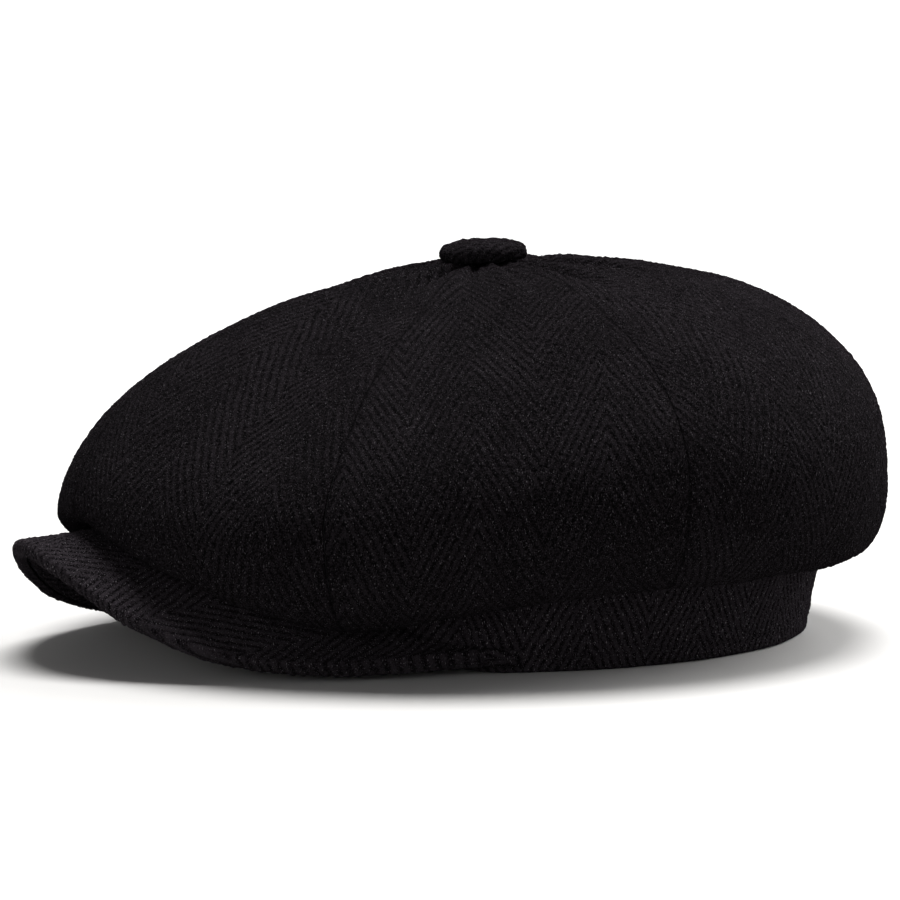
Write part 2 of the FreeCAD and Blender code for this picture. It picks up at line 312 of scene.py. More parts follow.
def thick_sheet(name, outer, inner, weave, weave_inner):
    """Closed cloth: a fine outer grid and an inner grid STRIDE times coarser."""
    rows, cols = outer.shape[:2]
    top = np.arange(rows * cols).reshape(rows, cols)
    low = rows * cols + np.arange(inner.shape[0] * inner.shape[1]).reshape(inner.shape[:2])
    faces = [quads(top), quads(low, True)]
    for fine, coarse, turn in ((top[:, 0], low[:, 0], True), (top[:, -1], low[:, -1], False),
                               (top[0], low[0], False), (top[-1], low[-1], True)):
        starts = np.arange(len(coarse) - 1)
        rim = np.stack([fine[starts * STRIDE + k] for k in range(STRIDE + 1)]
                       + [coarse[starts + 1], coarse[starts]], -1)
        faces.append(rim[:, ::-1] if turn else rim)
    verts = np.concatenate([outer.reshape(-1, 3), inner.reshape(-1, 3)])
    marks = np.concatenate([weave.reshape(-1, 3), weave_inner.reshape(-1, 3)])
    return new_mesh(name, verts, faces, marks)


def tube_sheet(name, loops, weave, ring):
    """Closed cloth whose cross-section is a loop: loops is (around, section, 3)."""
    around, section = loops.shape[:2]
    index = np.arange(around * section).reshape(around, section)
    shut = np.concatenate([index, index[:, :1]], 1)
    if ring:
        shut = np.concatenate([shut, shut[:1]], 0)
    faces = [quads(shut)]
    if not ring:
        faces += [index[0][None, :], index[-1][None, ::-1]]
    return new_mesh(name, loops.reshape(-1, 3), faces, weave.reshape(-1, 3))


def gore_place(index):
    side = SIDES[index * 2 // GORES]
    return GORE_NAMES[index if index < GORES // 2 else GORES - 1 - index] + "_" + side


def crown_start(radius):
    u = np.linspace(0.0005, 0.2, 800)
    p = crown_point(90.0, u)
    return float(np.interp(radius, np.hypot(p[:, 0], p[:, 1] - APEX_Y), u))


# ---------------------------------------------------------------- shader sums

class Sum:
    """A value socket that can be used in Python sums; each one adds a Math node."""

    def __init__(self, graph, socket):
        self.graph = graph
        self.socket = socket

    def with_other(self, operation, other, swap=False):
        pair = (other, self) if swap else (self, other)
        return self.graph.add("ShaderNodeMath", {"operation": operation}, {0: pair[0], 1: pair[1]})

    def __add__(self, other):
        return self.with_other("ADD", other)

    def __sub__(self, other):
        return self.with_other("SUBTRACT", other)

    def __rsub__(self, other):
        return self.with_other("SUBTRACT", other, True)

    def __mul__(self, other):
        return self.with_other("MULTIPLY", other)

    def __truediv__(self, other):
        return self.with_other("DIVIDE", other)

    def __pow__(self, other):
        return self.with_other("POWER", other)

    __radd__ = __add__
    __rmul__ = __mul__


class Graph:
    """The node tree of one material."""

    def __init__(self, name):
        self.material = bpy.data.materials.new(name)
        self.material.use_nodes = True
        self.tree = self.material.node_tree
        self.shader = self.tree.nodes["Principled BSDF"]

    def put(self, socket, value):
        if isinstance(value, Sum):
            self.tree.links.new(value.socket, socket)
        elif isinstance(value, bpy.types.NodeSocket):
            self.tree.links.new(value, socket)
        else:
            socket.default_value = value

    def add(self, kind, settings=None, inputs=None, out=0):
        """Adds a node, sets its settings, then its sockets; returns one output."""
        node = self.tree.nodes.new(kind)
        for key, value in (settings or {}).items():
            setattr(node, key, value)
        for key, value in (inputs or {}).items():
            self.put(node.inputs[key], value)
        socket = node.outputs[out]
        return Sum(self, socket) if socket.type == "VALUE" else socket

    def mix(self, share, first, second):
        """Colour between first and second."""
        return self.add("ShaderNodeMix", {"data_type": "RGBA"}, {0: share, 6: first, 7: second}, 2)

    def noise(self, scale, vector=None, detail=2.0, rough=0.5):
        inputs = {"Scale": scale, "Detail": detail, "Roughness": rough}
        if vector is not None:
            inputs["Vector"] = vector
        return self.add("ShaderNodeTexNoise", None, inputs)

    def limit(self, value, low, high):
        """0 where value is below low, 1 above high, smooth between."""
        return self.add("ShaderNodeMapRange", {"interpolation_type": "SMOOTHSTEP"},
                        {"Value": value, "From Min": low, "From Max": high})

    def weave(self):
        """The cloth's own coordinates, in metres: across, along and from its seam."""
        vector = self.add("ShaderNodeAttribute", {"attribute_name": "weave"}, None, "Vector")
        parts = self.add("ShaderNodeSeparateXYZ", None, {0: vector})
        node = parts.socket.node
        return [Sum(self, node.outputs[i]) for i in range(3)]

    def place(self):
        return self.add("ShaderNodeTexCoord", None, None, "Object")

    def bump(self, height, distance, strength=1.0, below=None):
        inputs = {"Height": height, "Distance": distance, "Strength": strength}
        if below is not None:
            inputs["Normal"] = below
        return self.add("ShaderNodeBump", None, inputs)

    def finish(self, **values):
        for key, value in values.items():
            self.put(self.shader.inputs[key.replace("_", " ")], value)
        return self.material


def shade(colour, amount):
    return tuple(min(1.0, c * amount) for c in colour[:3]) + (1.0,)


def wool(look, name, painted_light_gain, rib_share):
    """Brushed herringbone: ribs in tufts, a napped face, loose fibres with pale painted glints, and
    painted shade along the seams.
    """
    g = Graph(name)
    across, along, seam = g.weave()
    place = g.place()
    drift = (g.noise(70.0, place, 2.0) - 0.5) * (1.6 * MM)
    fold = g.add("ShaderNodeMath", {"operation": "PINGPONG"}, {0: across, 1: COLUMN})
    q = fold * math.cos(RIB_TILT) - along * math.sin(RIB_TILT) + drift
    p = fold * math.sin(RIB_TILT) + along * math.cos(RIB_TILT)
    wave = g.add("ShaderNodeMath", {"operation": "SINE"}, {0: q * (2 * math.pi / RIB)})
    rib = wave * 0.5 + 0.5
    tuft_place = g.add("ShaderNodeCombineXYZ", None,
                       {0: q * (1.5 / RIB), 1: p * (1.5 / RIB), 2: 0.0})
    tuft = g.noise(1.0, tuft_place, 2.0, 0.6)
    curl = g.noise(2600.0, place, 3.0, 0.65)
    fibre_place = g.add("ShaderNodeVectorMath", {"operation": "MULTIPLY"},
                        {0: place, 1: (1.0, 1.0, 0.35)})
    fibre = g.limit(g.noise(3400.0, fibre_place, 1.0, 0.5), 0.64, 0.74)
    cloud = g.noise(26.0, place, 2.0)
    grain = g.limit(curl, 0.34, 0.66)
    speck = g.limit(g.noise(1500.0, place, 2.0, 0.6), 0.3, 0.7)
    worn = g.limit(g.noise(45.0, place, 3.0, 0.6), 0.35, 0.65)
    lift = g.limit(rib * (worn * 0.3 + rib_share) + tuft * 0.55 + grain * 0.75 + speck * 0.5, 0.70, 1.5)
    dark, pale = look.wool, look.rib
    # Painted light: the gain scales every colour, and is doubled on the visor and band to paint them
    # brighter, as if better lit.
    body = g.mix(lift, shade(dark, painted_light_gain), shade(pale, painted_light_gain))
    clouded = g.mix(g.limit(cloud, 0.35, 0.7), body, shade(look.nap, painted_light_gain))
    body = g.mix(0.2, body, clouded)
    # Painted glints: where loose fibres sit on the tufts, the colour turns pale, as fibres catching the
    # light.
    body = g.mix(fibre * g.limit(tuft, 0.3, 0.6) * 0.9, body, shade(look.fibre_glint, painted_light_gain))
    # Painted shade: within a millimetre of a gore's seam, or of the band hem's groove, the colour is
    # pulled up to halfway towards the dark ground, as shade in those valleys.
    inside = g.limit(seam, 0.0, 1.0 * MM)
    body = g.mix(inside * 0.5 + 0.5, shade(dark, 1.0), body)
    high = rib * 0.3 + tuft * 0.5 + curl * 1.2 + speck * 0.5 + fibre * 0.25
    return g.finish(Base_Color=body, Roughness=0.95, Normal=g.bump(high, 0.6 * MM, 1.0),
                    Sheen_Weight=0.006, Sheen_Roughness=0.5, Sheen_Tint=shade(look.sheen, 1.0),
                    Specular_IOR_Level=0.0)


def satin(look):
    """Lining twill: a fine diagonal and a soft streaked shine."""
    g = Graph("Lining_satin")
    across, along, _ = g.weave()
    place = g.place()
    line = g.add("ShaderNodeMath", {"operation": "SINE"},
                 {0: (across + along) * (2 * math.pi / (0.45 * MM))})
    streak = g.noise(1.0, g.add("ShaderNodeCombineXYZ", None,
                                {0: across * 1800.0, 1: along * 60.0, 2: 0.0}), 2.0)
    tone = g.mix(g.limit(streak, 0.3, 0.7), shade(look.lining, 0.8), shade(look.lining, 1.35))
    rough = 0.30 + streak * 0.18
    high = line * 0.35 + streak * 0.6 + g.noise(300.0, place) * 0.5
    return g.finish(Base_Color=tone, Roughness=rough, Normal=g.bump(high, 0.12 * MM, 0.6),
                    Sheen_Weight=0.1, Specular_IOR_Level=0.5)


def ribbed_tape(look):
    """Sweatband: grosgrain with its ribs running up the band."""
    g = Graph("Ribbed_tape")
    across, along, _ = g.weave()
    line = g.add("ShaderNodeMath", {"operation": "SINE"},
                 {0: across * (2 * math.pi / (1.1 * MM))})
    yarn = g.add("ShaderNodeMath", {"operation": "SINE"},
                 {0: along * (2 * math.pi / (0.5 * MM))})
    wear = g.noise(40.0, g.place(), 3.0)
    tone = g.mix(g.limit(wear, 0.4, 0.75), shade(look.tape, 1.0), shade(look.tape, 1.5))
    # Painted shade: the colour halves in the grooves between the ribs.
    tone = g.mix(g.limit(line, -0.9, 0.4), shade(look.tape, 0.5), tone)
    high = line * 0.6 + yarn * 0.2 + g.noise(2500.0, g.place()) * 0.3
    return g.finish(Base_Color=tone, Roughness=0.8, Normal=g.bump(high, 0.22 * MM, 0.9),
                    Sheen_Weight=0.1, Specular_IOR_Level=0.25)


def thread(look):
    """Twisted sewing thread."""
    g = Graph("Sewing_thread")
    across, along, _ = g.weave()
    twist = g.add("ShaderNodeMath", {"operation": "SINE"},
                  {0: (along * 2.2 + across) * (2 * math.pi / (0.7 * MM))})
    # Painted shade and highlight: darker in the twist's grooves, lighter on its crests.
    tone = g.mix(g.limit(twist, -0.8, 0.8), shade(look.thread, 0.5), shade(look.thread, 1.3))
    return g.finish(Base_Color=tone, Roughness=0.55, Normal=g.bump(twist, 0.08 * MM, 0.8),
                    Specular_IOR_Level=0.15)


def plain_finish(name, colour, rough, metallic, grain, depth):
    """Moulded, pressed or bonded stuff under the cloth, with a fine grain."""
    g = Graph(name)
    place = g.place()
    fine = g.noise(grain, place, 3.0, 0.6)
    broad = g.noise(35.0, place, 2.0)
    tone = g.mix(g.limit(fine * 0.6 + broad * 0.4, 0.35, 0.65), shade(colour, 0.82),
                 shade(colour, 1.12))
    return g.finish(Base_Color=tone, Roughness=rough + (broad - 0.5) * 0.15,
                    Metallic=metallic, Normal=g.bump(fine, depth, 0.7))


def material(name, maker, *values):
    """The named material, made the first time it is asked for."""
    return bpy.data.materials.get(name) or maker(*values)


def crown_wool():
    """The wool as cut for the crown and button, its nap brushed flat."""
    return material("Brushed_wool", wool, look(), "Brushed_wool", 1.0, 0.22)


def band_wool():
    """The same wool stretched over the visor and band, where the ribs stand out; its colours are painted
    twice as bright, as painted light on the visor and band.
    """
    return material("Stretched_wool_painted_light", wool, look(), "Stretched_wool_painted_light", 2.0, 0.5)


def dress(obj, finish, body, slot, *nodes):
    """Gives a piece its material and its body, and hides the CAD nodes it stands for."""
    obj.data.materials.clear()
    obj.data.materials.append(finish)
    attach(obj, body)
    if nodes:
        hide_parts(*nodes)
    return obj


# ---------------------------------------------------------------- pieces

def colour_field(name, text, value):
    return bpy.props.FloatVectorProperty(name=name, description=text, subtype="COLOR",
                                         size=3, min=0.0, max=1.0, default=value)


def length_field(name, text, value):
    return bpy.props.FloatProperty(name=name, description=text, unit="LENGTH",
                                   subtype="DISTANCE", min=0.0, default=value, precision=5)


class CapLook(bpy.types.PropertyGroup):
    """Colours of the cap's cloths and thread."""

    wool: colour_field("Wool", "Ground of the brushed wool", (0.0004, 0.0003, 0.0004))
    rib: colour_field("Rib", "Raised ribs of the herringbone", (0.0088, 0.0075, 0.0087))
    nap: colour_field("Nap", "Patches where the nap catches the light", (0.0033, 0.0027, 0.0032))
    # painted glints: the pale colour of loose fibres catching the light
    fibre_glint: colour_field("Fleck", "Loose pale fibres", (0.075, 0.068, 0.074))
    sheen: colour_field("Sheen", "Tint of the nap's edge light", (0.85, 0.8, 0.85))
    lining: colour_field("Lining", "Satin inside the crown", (0.012, 0.012, 0.014))
    tape: colour_field("Tape", "Sweatband", (0.014, 0.013, 0.015))
    thread: colour_field("Thread", "Sewing thread", (0.004, 0.0036, 0.0043))


class CapSizes(bpy.types.PropertyGroup):
    """Sizes of the cloth's relief and stitching."""

    rib_depth: length_field("Rib depth", "Half the height of a rib", 0.06 * MM)
    tuft_depth: length_field("Tuft depth", "Uneven face of the brushed cloth", 0.17 * MM)
    seam_depth: length_field("Seam depth", "How far the cloth turns down at a seam", 0.2 * MM)
    fullness: length_field("Fullness", "Crown of each gore between its seams", 0.2 * MM)
    gathers: length_field("Gathers", "Height of the pleats round the button", 1.1 * MM)
    slack: length_field("Slack", "Soft unevenness of the crown", 1.2 * MM)
    stitch: length_field("Stitch", "Length of one stitch", 2.6 * MM)
    stitch_gap: length_field("Stitch gap", "Space between stitches", 0.7 * MM)
    thread_radius: length_field("Thread radius", "Half the thread's thickness", 0.18 * MM)


def look():
    return bpy.context.scene.cap_look


def sizes():
    return bpy.context.scene.cap_sizes


def nap_height(points, weave, bold=1.0):
    """Relief of the wool's face: ribs, tufts and loose curls."""
    s = sizes()
    ribs = rib_height(weave[..., 0] + waves(points, 14 * MM, 5) * 0.25 * MM, weave[..., 1])
    tufts = waves(points, 2.6 * MM, 11, 2)
    fine = np.random.default_rng(17).normal(size=points.shape[:-1])
    return ribs * s.rib_depth * bold + tufts * s.tuft_depth + fine * 0.09 * MM


def gore_cloth(index):
    s = sizes()
    first = index * GORE_ANGLE + SEAM_HALF_GAP
    last = (index + 1) * GORE_ANGLE - SEAM_HALF_GAP
    middle = (first + last) / 2
    start = crown_start(GORE_START)

    def spine(share):
        return crown_point(middle, start + (3.0 - start) * share)

    def rim(share):
        return crown_point(first + (last - first) * share, 1.0)

    u = start + (3.0 - start) * even(spine, STEP, STRIDE)
    angles = first + (last - first) * even(rim, STEP, STRIDE)
    points = crown_point(angles[:, None], u[None, :])
    normal = grid_normals(points)
    flip = 1.0 if normal[len(angles) // 2, len(u) // 3, 2] > 0 else -1.0
    normal = normal * flip
    centre = len(angles) // 2
    across = lengths(points, 0)
    width = across[-1:]
    along = np.broadcast_to(lengths(points, 1)[centre:centre + 1], across.shape)
    side = np.minimum(across, width - across)
    weave = np.stack([across - across[centre:centre + 1] + COLUMN / 2, along, side], -1)
    share = side / np.maximum(width, 1e-6)
    pucker = 1 + 0.35 * waves(points, 9 * MM, 31)
    from_top = along + GORE_START
    below = np.clip((along - 0.93 * along.max()) / (0.07 * along.max()), 0, 1)
    open_up = np.clip(width / (40 * MM), 0.15, 1)
    height = -s.seam_depth * np.exp(-(side / (1.4 * MM)) ** 2) * pucker * open_up
    height -= 0.45 * s.seam_depth * np.exp(-(side / (6.5 * MM)) ** 2) * open_up
    height += s.fullness * np.sin(math.pi * np.clip(share, 0, 0.5)) * open_up
    height += s.slack * 0.5 * waves(points, 62 * MM, 3, 2)
    turn = np.radians(np.broadcast_to(angles[:, None], across.shape))
    pleat = (np.sin(17 * turn + 1.3 * np.sin(3 * turn)) + 0.6 * np.sin(29 * turn + 2.0))
    height += s.gathers * pleat * np.exp(-((from_top - 30 * MM) / (19 * MM)) ** 2)
    height += s.gathers * 0.5 * np.sin(9 * turn + 0.7) * np.exp(-((from_top - 55 * MM) / (24 * MM)) ** 2)
    height *= 1 - below
    height += nap_height(points, weave) * (0.35 + 0.65 * np.clip(side / (2 * MM), 0, 1))
    outer = points + normal * height[..., None]
    thin = CROWN_CLOTH * (0.35 + 0.6 * np.clip(side / (5 * MM), 0, 1))
    soft = points + normal * np.clip(height, -s.seam_depth * 1.2, 0)[..., None]
    inner = (soft - normal * np.maximum(thin - 0.1 * MM, 0.2 * MM)[..., None])[::STRIDE, ::STRIDE]
    name = "Crown_gore_" + gore_place(index)
    obj = thick_sheet(name, outer, inner, weave, weave[::STRIDE, ::STRIDE])
    return obj, float(along.max()), float(width.max())


class CapCrown(bpy.types.Operator):
    """Cut and sew the eight gores of the crown"""

    bl_idname = "cap.crown"
    bl_label = "Crown gores"

    def execute(self, context):
        cloth = crown_wool()
        for index in range(GORES):
            obj, length, width = gore_cloth(index)
            dress(obj, cloth, "cap", "wool", "crown_gore_" + gore_place(index))
        return {"FINISHED"}


class CapLining(bpy.types.Operator):
    """Hang the satin lining inside the crown"""

    bl_idname = "cap.lining"
    bl_label = "Lining"

    def execute(self, context):
        cloth = material("Lining_satin", satin, look())
        for index in range(GORES):
            first = index * GORE_ANGLE + SEAM_HALF_GAP
            last = (index + 1) * GORE_ANGLE - SEAM_HALF_GAP
            start = crown_start(LINING_START)
            angles = np.linspace(first, last, 45)
            u = np.linspace(start, LINING_END, 109)
            points = crown_point(angles[:, None], u[None, :])
            normal = grid_normals(points)
            if normal[22, 30, 2] < 0:
                normal = -normal
            across = lengths(points, 0)
            along = lengths(points, 1)
            width = across[-1:]
            side = np.minimum(across, width - across)
            depth = CROWN_CLOTH + LINING_GAP + 0.25 * MM
            crease = 0.8 * MM * np.exp(-(side / (1.5 * MM)) ** 2)
            drape = (1 + waves(points, 22 * MM, 41, 2)) * 0.6 * MM * np.clip(side / (8 * MM), 0, 1)
            place = points - normal * (depth + drape + crease * 0.3)[..., None]
            inside = place - normal * LINING_CLOTH
            weave = np.stack([across, along, side], -1)
            name = "Lining_gore_" + gore_place(index)
            obj = thick_sheet(name, place, inside[::STRIDE, ::STRIDE], weave,
                              weave[::STRIDE, ::STRIDE])
            dress(obj, cloth, "cap", "lining", "lining_gore_" + gore_place(index))
        return {"FINISHED"}


def ring_angles(step):
    """Angles round the band, about one step of cloth apart."""
    return np.linspace(0, 360, int(round(BAND_ROUND / step)) + 1)[:-1]


def ring_weave(points):
    """Distance round a closed ring of points, from its first one."""
    around = np.linalg.norm(np.roll(points, -1, 0) - points, axis=-1)
    return np.cumsum(around, 0) - around


class CapBand(bpy.types.Operator):
    """Fold and press the wool band with its turned hem"""

    bl_idname = "cap.band"
    bl_label = "Band"

    def execute(self, context):
        angles = ring_angles(STEP)
        full = station(BAND_HEIGHT, angles) * MM
        level = np.zeros_like(full)
        groove, roll = GROOVE_HEIGHT, HEM_ROLL
        rows = []
        outside = np.linspace(1.0, 0.0, 50)
        for share in outside:
            height = groove * 0.45 + (full - groove * 0.45) * share
            pull = 0.55 * MM * np.exp(-((height - groove) / (0.75 * MM)) ** 2)
            swell = -0.35 * MM * np.exp(-((height - groove - 3 * MM) / (2.6 * MM)) ** 2)
            rows.append((height, pull + swell))
        for step in range(1, 14):
            q = math.pi * step / 13
            rows.append((groove * 0.45 - roll * 1.3 * math.sin(q) + level,
                         roll * (1 - math.cos(q)) + level))
        rows.append((groove * 0.8 + level, 2 * roll - 0.05 * MM + level))
        for share in np.linspace(0.12, 1.0, 9):
            rows.append((groove + (full - groove) * share, BAND_CLOTH - 0.05 * MM + level))
        height = np.stack([r[0] for r in rows], 1)
        depth = np.stack([r[1] for r in rows], 1)
        height = height - height.min() + 0.15 * MM
        points = band_point(angles[:, None], height, depth)
        across = ring_weave(points)
        outer_rows = len(outside) + 14
        weave = np.stack([across, height, np.full_like(height, 1.0)], -1)
        # distance from the hem's groove, where the wool's painted shade darkens the groove
        weave[:, :, 2] = 0.4 * MM + np.abs(height - groove) * 1.6
        back = np.abs(across - across[len(angles) // 2])
        face = np.arange(len(rows)) < outer_rows
        normal = grid_normals(points, True)
        if normal[len(angles) // 4, 10, 0] < 0:
            normal = -normal
        soft = 0.35 * MM * waves(points, 40 * MM, 51, 2) - 1.1 * MM * np.exp(-(back / (1.4 * MM)) ** 2)
        relief = (nap_height(points, weave) + soft) * face[None, :]
        relief *= np.clip(height / (1.2 * MM), 0, 1)
        obj = tube_sheet("Band_cloth", points + normal * relief[..., None], weave, True)
        dress(obj, band_wool(), "cap", "wool", "band_cloth")
        return {"FINISHED"}


class CapSweatband(bpy.types.Operator):
    """Sew the ribbed sweatband inside the band"""

    bl_idname = "cap.sweatband"
    bl_label = "Sweatband"

    def execute(self, context):
        angles = ring_angles(1.1 * MM)
        full = station(BAND_HEIGHT, angles) * MM
        rows = []
        for share in np.linspace(1, 0, 24):
            rows.append((SWEATBAND_SHORT + (full - SWEATBAND_SHORT) * share, SWEATBAND_CLOTH))
        for share in np.linspace(0, 1, 10):
            rows.append((SWEATBAND_SHORT + (full - SWEATBAND_SHORT) * share, 0.0))
        height = np.stack([r[0] for r in rows], 1)
        depth = np.stack([np.full(len(angles), r[1]) for r in rows], 1)
        end = np.minimum(height - SWEATBAND_SHORT, full[:, None] - height)
        inner = depth > 0.5 * SWEATBAND_CLOTH
        dip = 0.3 * MM * np.exp(-((end - 2.2 * MM) / (0.6 * MM)) ** 2)
        depth = SWEATBAND_DEPTH + depth - np.where(inner, dip, 0)
        points = band_point(angles[:, None], height, depth)
        points = points + np.where(inner, waves(points, 30 * MM, 61, 2) * 0.2 * MM, 0)[..., None]
        weave = np.stack([ring_weave(points), height, end], -1)
        obj = tube_sheet("Sweatband", points, weave, True)
        dress(obj, material("Ribbed_tape", ribbed_tape, look()), "cap", "sweatband", "sweatband")
        return {"FINISHED"}


def stitches(name, points, normals, radius, stitch, gap):
    """A row of stitches along a closed or open line of points, lying on the cloth."""
    run = lengths(points, 0)
    count = int(run[-1] / (stitch + gap))
    sides, parts = 6, 7
    verts, faces, marks = [], [], []
    for k in range(count):
        s0 = (k + 0.5) * run[-1] / count - stitch / 2
        s = s0 + stitch * np.linspace(0, 1, parts)
        line = np.stack([np.interp(s, run, points[:, i]) for i in range(3)], -1)
        up = np.stack([np.interp(s, run, normals[:, i]) for i in range(3)], -1)
        up /= np.linalg.norm(up, axis=-1, keepdims=True)
        sink = radius * 1.6 * np.abs(np.linspace(-1, 1, parts)) ** 3
        line = line + up * (radius * 0.55 - sink)[:, None]
        along = np.gradient(line, axis=0)
        along /= np.linalg.norm(along, axis=-1, keepdims=True)
        beside = np.cross(along, up)
        thick = radius * np.sqrt(np.clip(1 - np.linspace(-0.97, 0.97, parts) ** 6, 0.05, 1))
        turn = np.linspace(0, 2 * math.pi, sides + 1)[:-1]
        around = (line[:, None] + (beside[:, None] * np.cos(turn)[None, :, None]
                                   + up[:, None] * np.sin(turn)[None, :, None])
                  * thick[:, None, None])
        base = len(verts) * parts * sides
        index = base + np.arange(parts * sides).reshape(parts, sides)
        shut = np.concatenate([index, index[:, :1]], 1)
        faces.append(quads(shut, True))
        verts.append(around.reshape(-1, 3))
        marks.append(np.stack([np.broadcast_to(turn[None] * radius, (parts, sides)),
                               np.broadcast_to(s[:, None], (parts, sides)),
                               np.ones((parts, sides))], -1).reshape(-1, 3))
    caps = []
    for k in range(count):
        base = k * parts * sides
        caps.append([base + i for i in range(sides)])
        caps.append([base + parts * sides - 1 - i for i in range(sides)])
    faces = [np.concatenate(faces), np.array(caps)]
    return new_mesh(name, np.concatenate(verts), faces, np.concatenate(marks))


class CapStitching(bpy.types.Operator):
    """Stitch along the band's hem and the sweatband's edge"""

    bl_idname = "cap.stitching"
    bl_label = "Stitching"

    def execute(self, context):
        s = sizes()
        finish = material("Sewing_thread", thread, look())
        angles = np.linspace(0.01, 359.99, 1200)
        rows = (("Hem_stitching", 4.35 * MM, 0.62 * MM, 1.0, "wool"),
                ("Sweatband_stitching", SWEATBAND_SHORT + 2.2 * MM,
                 SWEATBAND_DEPTH + SWEATBAND_CLOTH - 0.2 * MM, -1.0, "sweatband"))
        for name, height, depth, way, slot in rows:
            line = band_point(angles, height, depth)
            out = band_point(angles, height, depth - way * MM) - line
            obj = stitches(name, line, out, s.thread_radius, s.stitch, s.stitch_gap)
            dress(obj, finish, "cap", slot)
        return {"FINISHED"}


class CapVisor(bpy.types.Operator):
    """Cover the visor board with wool, turned over its edge"""

    bl_idname = "cap.visor"
    bl_label = "Visor"

    def execute(self, context):
        cloth = band_wool()

        def rim(share):
            return visor_point(-VISOR_END + 2 * VISOR_END * share, 1.0, 0.0)

        t = -VISOR_END + 2 * VISOR_END * even(rim, STEP, 1)
        still = np.zeros_like(t)
        side = np.concatenate([[-1, -1, -1], still, [1, 1, 1]])[:, None, None]
        shift = np.concatenate([END_SHIFT, still, END_SHIFT[::-1]])[:, None, None] * MM
        pinch = np.concatenate([END_PINCH, 1 + still, END_PINCH[::-1]])
        t = np.concatenate([[t[0]] * 3, t, [t[-1]] * 3])
        wrap = math.radians(VISOR_WRAP)
        outwards = shift * (side * (math.sin(wrap), 0, 0) - np.array((0, math.cos(wrap), 0)))
        inset = 0.03
        rows = []
        for share in np.linspace(0.0, 1.0 - inset, 100):
            rows.append((share, VISOR_HALF))
        for step in range(1, 12):
            q = math.pi * step / 12
            rows.append((1.0 - inset + inset * math.sin(q), VISOR_HALF * math.cos(q)))
        for share in (1.0 - inset, 0.955, 0.945, 0.935):
            rows.append((share, -VISOR_HALF))
        rows.append((0.932, -VISOR_HALF * 0.75))
        for share in (0.94, 0.95, 0.96):
            rows.append((share, -VISOR_BOARD_HALF - 0.1 * MM))
        for step in range(1, 4):
            q = math.pi * step / 4
            rows.append((0.965 + 0.008 * math.sin(q), -VISOR_BOARD_HALF * math.cos(q)))
        for share in np.linspace(0.96, 0.0, 14):
            rows.append((share, VISOR_BOARD_HALF))
        r = np.array([row[0] for row in rows])
        offset = np.array([row[1] for row in rows])
        points = visor_point(t[:, None], r[None, :], pinch[:, None] * offset[None, :]) + outwards
        across = lengths(points * (1, 0, 1), 0)
        across = across - across[len(t) // 2] + COLUMN / 2
        weave = np.stack([across, -points[..., 1], np.full_like(across, 10 * MM)], -1)
        face = (np.arange(len(rows)) < 112)[None, :]
        normal = grid_normals(points)
        if normal[len(t) // 2, 40, 2] < 0:
            normal = -normal
        soft = 0.25 * MM * waves(points, 24 * MM, 71, 2)
        relief = (nap_height(points, weave, BOLD_RIBS) + soft) * face
        near = np.minimum(np.arange(len(t)), np.arange(len(t))[::-1])[:, None]
        relief = relief * np.clip(near / 8, 0, 1)
        obj = tube_sheet("Visor_top_cloth", points + normal * relief[..., None], weave, False)
        dress(obj, cloth, "visor", "wool", "visor_top_cloth")

        rows = [(share, -VISOR_HALF) for share in np.linspace(0.0, 0.915, 90)]
        rows += [(0.924, -VISOR_HALF * 0.85), (0.928, -VISOR_HALF * 0.6)]
        rows += [(share, -VISOR_BOARD_HALF - 0.05 * MM) for share in np.linspace(0.925, 0.0, 12)]
        r = np.array([row[0] for row in rows])
        offset = np.array([row[1] for row in rows])
        points = visor_point(t[:, None], r[None, :], pinch[:, None] * offset[None, :]) + outwards
        across = lengths(points * (1, 0, 1), 0)
        weave = np.stack([across, -points[..., 1], np.full_like(across, 10 * MM)], -1)
        face = (np.arange(len(rows)) < 90)[None, :]
        normal = grid_normals(points)
        if normal[len(t) // 2, 40, 2] > 0:
            normal = -normal
        relief = nap_height(points, weave) * face * np.clip(near / 8, 0, 1)
        obj = tube_sheet("Visor_under_cloth", points + normal * relief[..., None], weave, False)
        dress(obj, cloth, "visor", "wool", "visor_under_cloth")
        return {"FINISHED"}


